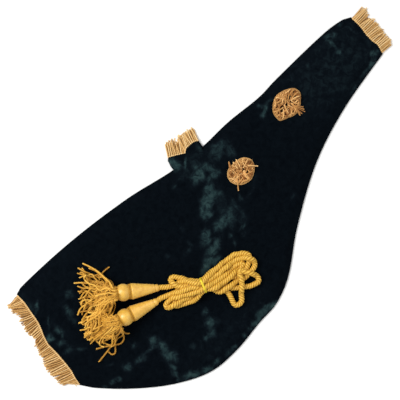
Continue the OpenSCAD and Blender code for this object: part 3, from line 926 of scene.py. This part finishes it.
CORD_D = 9.5 * MM
CORD_FLOOR = 15.3 * MM          # height of the cord's middle where it lies on the cloth
SETTLING_TURNS = 260
TIE_CENTRE = np.array([-115, -49])  # this and the route are in millimetres
TIE_TURN = -20                      # degrees from x to the direction in which the cord passes the tie
TIE_WAYS = [unit(a) for a in np.radians([TIE_TURN, TIE_TURN + 90])]     # along the cord, and along the tie

# The cord's ends, from the hank out to the tassels
UPPER_LEAD = [(-152, -16, 20), (-160, -10, 19), (-168, -4, 18), (-176, 2, 17.5)]
LOWER_LEAD = [(-166, -24, 20), (-174, -19, 19), (-184, -15, 18), (-194, -14, 17.5)]


def waist(across, height):
    """Where the cord passes through the tie: across runs along the tie."""
    return (*(TIE_CENTRE + across * TIE_WAYS[1]), height)


HANK_ROUTE = [
    # from the upper tassel, over the top of the hank and through the tie
    *UPPER_LEAD[::-1], (-143, -22, 25), (-133, -29, 29), (-123, -38, 32), waist(4, 34),
    # first fold on the right, and back underneath
    (-99, -46, 29), (-80, -47.5, 25.5), (-60, -47.5, 24.5), (-45, -49.5, 24), (-33, -55.5, 22),
    (-25.5, -61, 19), (-25, -69, 16), (-33, -76, 15.3), (-45, -79, 15.3), (-61, -75, 15.3),
    (-80, -67, 15.3), (-98, -56, 17), waist(4, 21.5),
    # ring-shaped fold on the left
    (-122, -36, 19), (-130, -29, 16), (-134.5, -22, 15.3), (-138.5, -15, 15.3), (-138.5, -8, 15.8),
    (-144, -3, 17), (-150.5, -5, 18.5), (-152, -13, 20), (-148, -21, 23), (-142, -27, 24), (-133, -35, 25),
    (-123, -41, 27), waist(7.5, 27.5),
    # short fold inside the hank
    (-100, -47, 21), (-86, -48, 15.3), (-74, -49, 15.3), (-66, -53, 15.3), (-72, -59, 15.3),
    (-86, -56, 15.3), (-99, -49, 15.3), waist(7.5, 15.5),
    # small fold on the left, under the leads
    (-124, -38, 15.3), (-138, -30, 15.3), (-149, -24.5, 15.8), (-155, -26, 17.5), (-153, -31, 18.5),
    (-144, -35, 19), (-133, -43, 20.5), waist(-4, 21.5),
    # the two long folds that hang out of the hank's lower side
    (-104, -60, 18), (-97, -71, 15.3), (-93.5, -82, 15.3), (-94, -92, 15.3), (-97.5, -102, 15.3),
    (-99.5, -110, 15.3), (-95, -116, 15.3), (-87, -114, 15.3), (-80, -106, 17), (-72, -98, 22),
    (-65, -92, 25), (-60, -84, 27.5), (-57.5, -76, 29.5), (-54.5, -72, 30), (-51, -77, 29),
    (-46.5, -85, 26), (-41, -93, 21), (-39.5, -101, 16), (-41, -107.5, 15.3), (-47, -110, 15.3),
    (-57, -107, 15.3), (-67, -101, 15.3), (-78, -92, 15.3), (-87, -80, 15.3), (-96, -68, 15.3),
    (-106, -57, 15.4), waist(0, 15.5),
    # lower fold on the left
    (-125, -47, 15.4), (-136, -43, 15.3), (-148, -38, 15.3), (-162, -34, 15.3), (-172, -37, 15.3),
    (-173.5, -43, 15.3), (-165, -46.5, 15.3), (-153, -49.5, 16), (-140, -54, 18), (-128, -56, 23),
    waist(-7.5, 27.5),
    # middle fold on the right
    (-105, -63, 23), (-90, -68, 22), (-75, -70, 21), (-60, -73, 20), (-48, -76, 19.5), (-41, -71, 20),
    (-48, -65, 22), (-65, -62, 24), (-85, -60, 26), (-102, -57, 30), waist(-4, 34),
    # long fold on the left
    (-126, -48, 31), (-140, -41, 27), (-155, -34, 24), (-170, -29.5, 23), (-181, -28.5, 20.5),
    (-187, -33, 18.5), (-182, -38, 18), (-168, -40, 19), (-154, -43, 19), (-140, -48, 17), (-128, -53, 16),
    waist(-7.5, 15.5),
    # last fold on the right, which bulges towards the hanging ones
    (-108, -69, 18), (-95, -79, 21), (-80, -83, 21), (-68, -84, 18.5), (-57, -88, 16), (-45, -90.5, 15.3),
    (-33, -88, 15.5), (-25, -82.5, 17.5), (-22.5, -76, 20), (-27, -69, 22.5), (-35, -62, 23.5),
    (-45, -57, 24), (-60, -55, 24), (-80, -54, 24.5), (-99, -51.5, 26.5), waist(0, 28),
    # and over the top again to the lower tassel
    (-125, -42, 30), (-138, -34, 27), (-151, -28, 23), *LOWER_LEAD,
]


def settled(route, step, turns):
    """Lets a crossing line of cord settle.

    It keeps its length and its shape, lies on the cloth and on itself, and is drawn together by the tie.
    """
    line = resampled(spline(route, step), step)
    n = len(line)
    wanted = line.copy()
    rest = np.linalg.norm(np.diff(line, axis=0), axis=1)
    apart = np.abs(np.arange(n)[:, None] - np.arange(n)[None, :])
    size = CORD_D * (0.90 - 0.12 * np.exp(-(from_tie(line) / (13 * MM)) ** 2))
    gap = (size[:, None] + size[None, :]) / 2
    near = apart * step < 1.9 * CORD_D
    for _ in range(turns):
        # it sinks, straightens a little and keeps to its route
        line[1:-1, 2] -= 0.08 * MM
        line[1:-1] += 0.12 * (0.5 * (line[:-2] + line[2:]) - line[1:-1])
        line[:, :2] += 0.03 * (wanted[:, :2] - line[:, :2])
        # it stays out of itself
        delta = line[:, None, :] - line[None, :, :]
        distance = np.linalg.norm(delta, axis=2)
        short = np.where(near, 0, np.maximum(gap - distance, 0))
        push = delta * (short / np.maximum(distance, 1e-6))[..., None]
        touching = np.maximum((short > 0).sum(1), 1)
        line += 0.5 * push.sum(1) / np.sqrt(touching)[:, None]
        # it keeps its length
        for _ in range(4):
            step_now = np.diff(line, axis=0)
            length = np.linalg.norm(step_now, axis=1)
            fix = 0.5 * step_now * ((length - rest) / np.maximum(length, 1e-6))[:, None]
            line[:-1] += fix
            line[1:] -= fix
        # the tie squeezes it, and the cloth and the tassels hold it
        lengthwise, sideways = [(line[:, :2] - TIE_CENTRE * MM) @ way for way in TIE_WAYS]
        room = 8.0 * MM + 0.4 * np.maximum(np.abs(lengthwise) - 2 * MM, 0)
        inward = np.where(np.abs(lengthwise) < 12 * MM, np.clip(sideways, -room, room) - sideways, 0)
        line[:, :2] += inward[:, None] * TIE_WAYS[1]
        line[:, 2] = np.maximum(line[:, 2], CORD_FLOOR)
        line[0], line[-1] = wanted[0], wanted[-1]
        line = np.round(line, 7)    # so that the last digits of a sum can't grow into another heap
    return line


def from_tie(line):
    return np.linalg.norm(line[:, :2] - TIE_CENTRE * MM, axis=1)


def kinked(line):
    """The line with the small bends that a stored cord keeps."""
    s = lengths_along(line)
    free = smooth(s / (20 * MM)) * smooth((s[-1] - s) / (20 * MM))
    bends = np.array([noise.noise_vector(Vector((x / 0.011, 0.4, 2.0))) for x in s])
    bends[:, 2] = np.maximum(bends[:, 2], 0)
    return line + 1.3 * MM * free[:, None] * bends


def ply_relief(s, angle, plies=3, pitch=12.5 * MM):
    """Height, from 0 to 1, of a laid cord's surface: rounded plies with sharp grooves between them."""
    return np.abs(np.cos(plies * (angle + 2 * math.pi * s / pitch) / 2)) ** 0.6


def make_cord():
    turns = SETTLING_TURNS
    coarse = settled(np.array(HANK_ROUTE) * MM, 3.0 * MM, turns)
    line = resampled(spline(kinked(coarse), 0.8 * MM), 0.8 * MM)
    normal, across = ring_frames(line)
    sides = 24
    angle = (2 * math.pi * np.arange(sides) / sides)[None, :]
    relief = ply_relief(lengths_along(line)[:, None], angle)
    squeezed = np.exp(-(from_tie(line) / (8 * MM)) ** 2)
    radius = CORD_D / 2 * (1 - 0.12 * squeezed)[:, None] * (0.74 + 0.24 * relief)
    points = line[:, None, :] + (radius * np.cos(angle))[..., None] * normal[:, None, :]
    points = points + (radius * np.sin(angle))[..., None] * across[:, None, :]
    faces = tube_faces(len(line), sides)
    # painted shade in the grooves between plies and painted highlight on the tops of the plies
    tone = (-0.15 + 0.85 * relief).reshape(-1)
    piece = new_piece("drone_cord", points.reshape(-1, 3), faces, SILK, tone)
    finish_piece(piece, "cord", "cord_silk", "cord_hank", "upper_cord_lead", "lower_cord_lead")
    return piece, line


def make_tie(cord_line):
    """A soft band drawn tight round the waist of the hank."""
    lengthwise, sideways, centre = [np.array([*flat, 0]) for flat in (*TIE_WAYS, TIE_CENTRE * MM)]
    inside = cord_line[np.abs((cord_line - centre) @ lengthwise) < 2 * MM]
    flat = np.column_stack([(inside - centre) @ sideways, inside[:, 2]])
    flat = flat[np.abs(flat[:, 0]) < 16 * MM]
    section = [(-2.0, 0.0), (-1.3, 0.6), (0, 0.8), (1.3, 0.6), (2.0, 0.0), (0, -0.4)]   # along and off it
    around = np.linspace(0, 2 * math.pi, 73)
    points = []
    for way in map(unit, around):
        for offset, out in section:
            p = flat[np.argmax(flat @ way)] + way * (CORD_D * 0.43 + out * MM)
            points.append(centre + lengthwise * offset * MM + sideways * p[0] + np.array([0, 0, p[1]]))
    piece = new_piece("hank_tie_band", points, tube_faces(len(around), len(section)), TIE)
    return finish_piece(piece, "cord", "tie", "hank_tie")


# ---------------------------------------------------------------- tassels

TASSEL_TILT = math.radians(10.5)
BALL_S, BALL_R = 57 * MM, 14.5 * MM       # middle of the covered ball, from the pivot, and its radius
GROOVE_S, GROOVE_R = 45.5 * MM, 10.5 * MM
KNOT_R = 6.2 * MM                          # the ball of thread round the pivot
SKIRT_S = 68 * MM                          # where the strands leave the ball
SKIRT_R = 1.7 * MM                         # radius of a strand
PIVOTS = {name: np.array(lead[-1]) * MM for name, lead in (("upper", UPPER_LEAD), ("lower", LOWER_LEAD))}
TURNS = {"upper": math.radians(143), "lower": math.radians(162)}


def tassel_axes(name):
    """Unit directions of a tassel: along its axis, sideways and upwards."""
    x, y = unit(TURNS[name])
    along_axis = np.array([x * math.cos(TASSEL_TILT), y * math.cos(TASSEL_TILT), math.sin(TASSEL_TILT)])
    sideways = np.array([-y, x, 0])
    return along_axis, sideways, np.cross(along_axis, sideways)


def turned(name, part, profile, sides, *nodes, flutes=0, depth=0.0):
    """A piece of a tassel's head, turned on its axis. flutes are fine ridges along it."""
    along_axis, sideways, up = tassel_axes(name)
    angle = 2 * math.pi * np.arange(sides) / sides
    ridges = 1 + depth * (np.abs(np.cos(flutes * angle / 2)) - 0.6)
    across = np.outer(ridges * np.cos(angle), sideways) + np.outer(ridges * np.sin(angle), up)
    points = [PIVOTS[name] + s * along_axis + r * across for s, r in profile]
    body = name + "_tassel"
    piece = new_piece(f"{body}_{part}", np.vstack(points), tube_faces(len(profile), sides), SATIN)
    finish_piece(piece, body, "tassel_satin", *[f"{body}_{node}" for node in nodes])


def wound_cone():
    """A straight taper wound with thread, as (station, radius) pairs from the tip to the groove."""
    start, end, pitch, depth = (3.0 * MM, 6.6 * MM), (42 * MM, 13.6 * MM), 0.95 * MM, 0.3 * MM
    steps = int((end[0] - start[0]) / pitch * 4)
    profile = [(start[0], 1.0 * MM)]
    for k in range(steps + 1):
        s, r = [a + (b - a) * k / steps for a, b in zip(start, end)]
        profile.append((s, r + depth * abs(math.sin(math.pi * (s - start[0]) / pitch))))
    return profile + [(43.5 * MM, 12.6 * MM), (44.6 * MM, 10.8 * MM), (45.2 * MM, 9 * MM)]


def groove_cord(name):
    """Two turns of fine cord in the groove between the cone and the ball."""
    along_axis, sideways, up = tassel_axes(name)
    angle = np.linspace(0, 2 * math.pi, 100)[:, None]
    parts = []
    for s, r in ((GROOVE_S - 1.0 * MM, 12.1 * MM), (GROOVE_S + 1.3 * MM, 11.7 * MM)):
        ring = PIVOTS[name] + s * along_axis + r * (np.cos(angle) * sideways + np.sin(angle) * up)
        parts.append(twisted_tube(ring, 1.3 * MM, 0.35, 8, 4 * MM, ends=0))
    points, faces, tone = joined(parts)
    piece = new_piece(name + "_tassel_neck_cord", points, faces, SILK, tone)
    finish_piece(piece, name + "_tassel", "cord_silk", name + "_tassel_groove_cord")


def make_head(name):
    turned(name, "cone_thread", wound_cone(), 72, "cone_winding")
    angles = np.linspace(math.asin(GROOVE_R * 0.86 / BALL_R), math.pi - 0.42, 30)
    ball = [(BALL_S - BALL_R * math.cos(a), BALL_R * math.sin(a)) for a in angles]
    turned(name, "ball_thread", ball, 216, "ball_winding", flutes=108, depth=0.02)
    groove_cord(name)
    knot = [(-KNOT_R * math.cos(a), KNOT_R * math.sin(a)) for a in np.linspace(0.05, math.pi - 0.05, 48)]
    knot = [(s, r + 0.25 * MM * abs(math.sin(math.pi * s / (1.0 * MM)))) for s, r in knot]
    turned(name, "top_knot", knot, 48)


# How each skirt spreads: its strands, the angles it covers, how far from its pivot it reaches at each
# angle, and how high it is heaped
SKIRTS = {
    "lower": (78, (149, 177), table((148, 126), (154, 129), (162, 132), (168, 129), (171, 119), (174, 107),
                                    (178, 80)), 24),
    "upper": (80, (123, 173), table((122, 132), (127, 133), (131, 128), (137, 126), (140, 133), (148, 133),
                                    (155, 139), (163, 140), (168, 144), (173, 145)), 31),
}
# Strands that lie apart from the rest, as (x, y) in millimetres from the ball outwards
LOOSE_STRANDS = {
    "lower": [
        [(-260, 6), (-268, -6), (-285, -12), (-300, -16), (-318, -19), (-334, -21)],
        [(-260, 3), (-268, -12), (-276, -22), (-285, -24), (-294, -19), (-304, -12), (-322, -2)],
        [(-260, 8), (-274, -4), (-288, -13), (-296, -22), (-303, -29), (-309, -27), (-310, -19)],
        [(-260, 9), (-276, 0), (-288, -8), (-297, -15), (-303, -9), (-305, -1)],
        [(-260, 10), (-276, 6), (-296, 6), (-308, 3), (-312, -3), (-309, -9)],
        [(-260, 5), (-266, -7), (-276, -9), (-290, -5), (-303, -1), (-313, 3)],
        [(-260, 3), (-264, -10), (-272, -16), (-284, -14), (-294, -18), (-300, -16)],
    ],
    "upper": [
        [(-226, 50), (-223, 62), (-228, 76), (-227, 83), (-219, 84), (-209, 83)],
        [(-227, 50), (-224, 64), (-226, 78), (-228, 90), (-232, 104), (-238, 119)],
        [(-227, 50), (-227, 68), (-229, 84), (-231, 95), (-236, 106)],
        [(-229, 49), (-233, 68), (-236, 86), (-243, 102), (-249, 119)],
        [(-229, 49), (-236, 70), (-240, 88), (-247, 100), (-256, 113)],
        [(-230, 48), (-240, 68), (-250, 84), (-260, 95), (-272, 105)],
        [(-230, 48), (-243, 72), (-258, 82), (-266, 88), (-271, 97)],
        [(-232, 46), (-250, 62), (-266, 76), (-276, 90)],
        [(-232, 46), (-254, 62), (-274, 74), (-285, 80)],
        [(-232, 46), (-250, 60), (-278, 64), (-292, 66), (-305, 61)],
        [(-233, 43), (-252, 52), (-280, 56), (-300, 48), (-313, 50)],
        [(-233, 43), (-252, 48), (-276, 46), (-300, 38), (-308, 34), (-320, 40)],
        [(-234, 41), (-250, 34), (-266, 22), (-284, 20), (-302, 26), (-321, 26)],
        [(-234, 41), (-248, 28), (-262, 20), (-276, 10), (-292, 10), (-310, 12), (-323, 11)],
        [(-234, 42), (-252, 30), (-268, 26), (-282, 34), (-298, 30), (-310, 18)],
    ],
}


class Pile:
    """The height of what already lies on the cloth, in cells of one millimetre."""

    def __init__(self, low, high):
        self.low = np.array(low) * MM
        self.cells = np.array(high) - np.array(low)
        self.height = np.full(self.cells, CLOTH_TOP + 0.2 * MM)

    def around(self, xy, reach):
        """Rows and columns of the cells within a reach, in cells, of each point."""
        cell = np.clip(((xy - self.low) / MM).astype(int), reach, self.cells - reach - 1)
        step = np.arange(-reach, reach + 1)
        dx, dy = [d.ravel() for d in np.meshgrid(step, step, indexing="ij")]
        return cell[:, 0, None] + dx, cell[:, 1, None] + dy

    def cover(self, node):
        """Counts a node of the CAD model as lying there."""
        low, high = [np.array(corner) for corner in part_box(node)]
        first, last = [((corner[:2] - self.low) / MM).astype(int) for corner in (low, high)]
        part = self.height[first[0]:last[0] + 1, first[1]:last[1] + 1]
        np.maximum(part, high[2], out=part)

    def top_under(self, xy):
        rows, columns = self.around(xy, 1)
        return self.height[rows, columns].max(1)

    def add(self, line, radius):
        rows, columns = self.around(line[:, :2], 1)
        top = np.repeat(line[:, 2, None] + 0.75 * radius, rows.shape[1], 1)
        np.maximum.at(self.height, (rows, columns), top)


def laid_strand(flat, start_z, fall, ceiling, pile):
    """A strand that leaves the ball at a height, comes down, and lies on what is already there."""
    s = lengths_along(flat)
    under = pile.top_under(flat) + 0.8 * SKIRT_R
    free = CLOTH_TOP + SKIRT_R + (start_z - CLOTH_TOP - SKIRT_R) * (1 - smooth(s / fall))
    highest = ceiling + np.maximum(start_z + 9 * MM - ceiling, 0) * (1 - smooth((s - 12 * MM) / (26 * MM)))
    z = np.maximum(under, free)
    for _ in range(6):
        z[1:-1] = 0.25 * z[:-2] + 0.5 * z[1:-1] + 0.25 * z[2:]
        z = np.minimum(np.maximum(z, under - 0.25 * SKIRT_R), np.maximum(highest, free))
        z = np.maximum(z, CLOTH_TOP + 1.15 * SKIRT_R)
        z[0] = start_z
    return np.column_stack([flat, z])


def wandering(start, leaving, end, hook, rng):
    """A flat line from a start, left at an angle, to an end. It may end in a hook of some radians."""
    straight = np.linalg.norm(end - start)
    share = np.linspace(0, 1, int(straight / (2 * MM)) + 3)
    way = (end - start) / straight
    side = np.array([-way[1], way[0]])
    off = math.atan2(*(end - start)[::-1]) - leaving
    off = (off + math.pi) % (2 * math.pi) - math.pi
    bow = -math.tan(np.clip(off, -0.9, 0.9)) * straight * share * (1 - share) ** 2
    wave = np.zeros_like(share)
    for cycles in (0.9, 1.8, 2.9):
        wave += rng.normal(0, 4.8 * MM / cycles) * np.sin(2 * math.pi * (cycles * share + rng.uniform()))
    wave *= smooth(share * 2.2)
    line = start + np.outer(share * straight, way) + np.outer(bow + wave, side)
    angle = math.atan2(*(line[-1] - line[-3])[::-1])
    for _ in range(6 if hook else 0):
        angle += hook / 6
        line = np.vstack([line, line[-1] + 1.8 * MM * unit(angle)])
    return line


def skirt_plans(name, rng):
    """The strands of a skirt, as the height at which each leaves the ball and its flat line."""
    along_axis, sideways, up = tassel_axes(name)
    pivot = PIVOTS[name]
    count, fan, reach_at, _ = SKIRTS[name]
    plans = []
    for _ in range(count):
        around = rng.uniform(0, 2 * math.pi)
        r = 11.5 * MM * math.sqrt(rng.uniform(0.3, 1))
        start = pivot + SKIRT_S * along_axis + r * (math.cos(around) * sideways + math.sin(around) * up)
        side = (1 + math.cos(around)) / 2
        share = 0.5 * side + 0.5 * rng.uniform()
        angle = fan[0] + (fan[1] - fan[0]) * share
        hook = rng.choice([-1, 1]) * rng.uniform(0.8, 2.2) if rng.uniform() < 0.4 else 0
        reach = reach_at(angle) * (1 - 0.3 * rng.uniform() ** 1.6) - (7 if hook else 0)
        end = pivot[:2] + reach * MM * unit(math.radians(angle))
        plans.append((start[2], wandering(start[:2], TURNS[name], end, hook, rng)))
    for route in LOOSE_STRANDS[name]:
        flat = spline([(x * MM, y * MM, 0) for x, y in route], 2 * MM)[:, :2]
        plans.append(((pivot + SKIRT_S * along_axis)[2] + rng.uniform(-2, 9) * MM, flat))
    return sorted(plans, key=lambda plan: plan[0])


def make_skirts():
    rng = np.random.default_rng(47)
    pile = Pile((-370, -70), (-180, 150))
    for name in ("lower", "upper"):
        pile.cover(name + "_tassel_end_knot")
        lines = []
        for start_z, flat in skirt_plans(name, rng):
            ceiling = SKIRTS[name][3] * rng.uniform(0.85, 1.0) * MM
            line = laid_strand(flat, start_z, rng.uniform(26, 46) * MM, ceiling, pile)
            pile.add(line, SKIRT_R)
            lines.append(spline(line, 1.2 * MM))
        piece = strands_piece(name + "_tassel_bullion", lines, SKIRT_R, BULLION, rng, 1.1 * MM, 5.5 * MM,
                              sides=6)
        finish_piece(piece, name + "_tassel", "tassel_bullion", name + "_tassel_skirt_strands")


# ---------------------------------------------------------------- inner pieces from the CAD model

def dress_inner_pieces():
    inner = {"mould": WOOD, "core_cord": SILK, "end_knot": SILK, "skirt_heading": SILK}
    for name in PIVOTS:
        for part, material in inner.items():
            node = frame["nodes"][name + "_tassel_" + part]
            node.data.materials.clear()
            node.data.materials.append(material)


# ---------------------------------------------------------------- build

make_camera()
make_lights()
make_floor()
cord, cord_line = make_cord()
tie = make_tie(cord_line)
for tassel in PIVOTS:
    make_head(tassel)
make_skirts()
dress_inner_pieces()
front_panel, front_grid = make_front_panel()
back_panel, back_grid = make_back_panel()
sleeve = make_sleeve()
fringes = make_mouth_fringes(front_grid, back_grid)
sleeve_fringes = make_sleeve_fringes()
rosettes = make_rosettes()
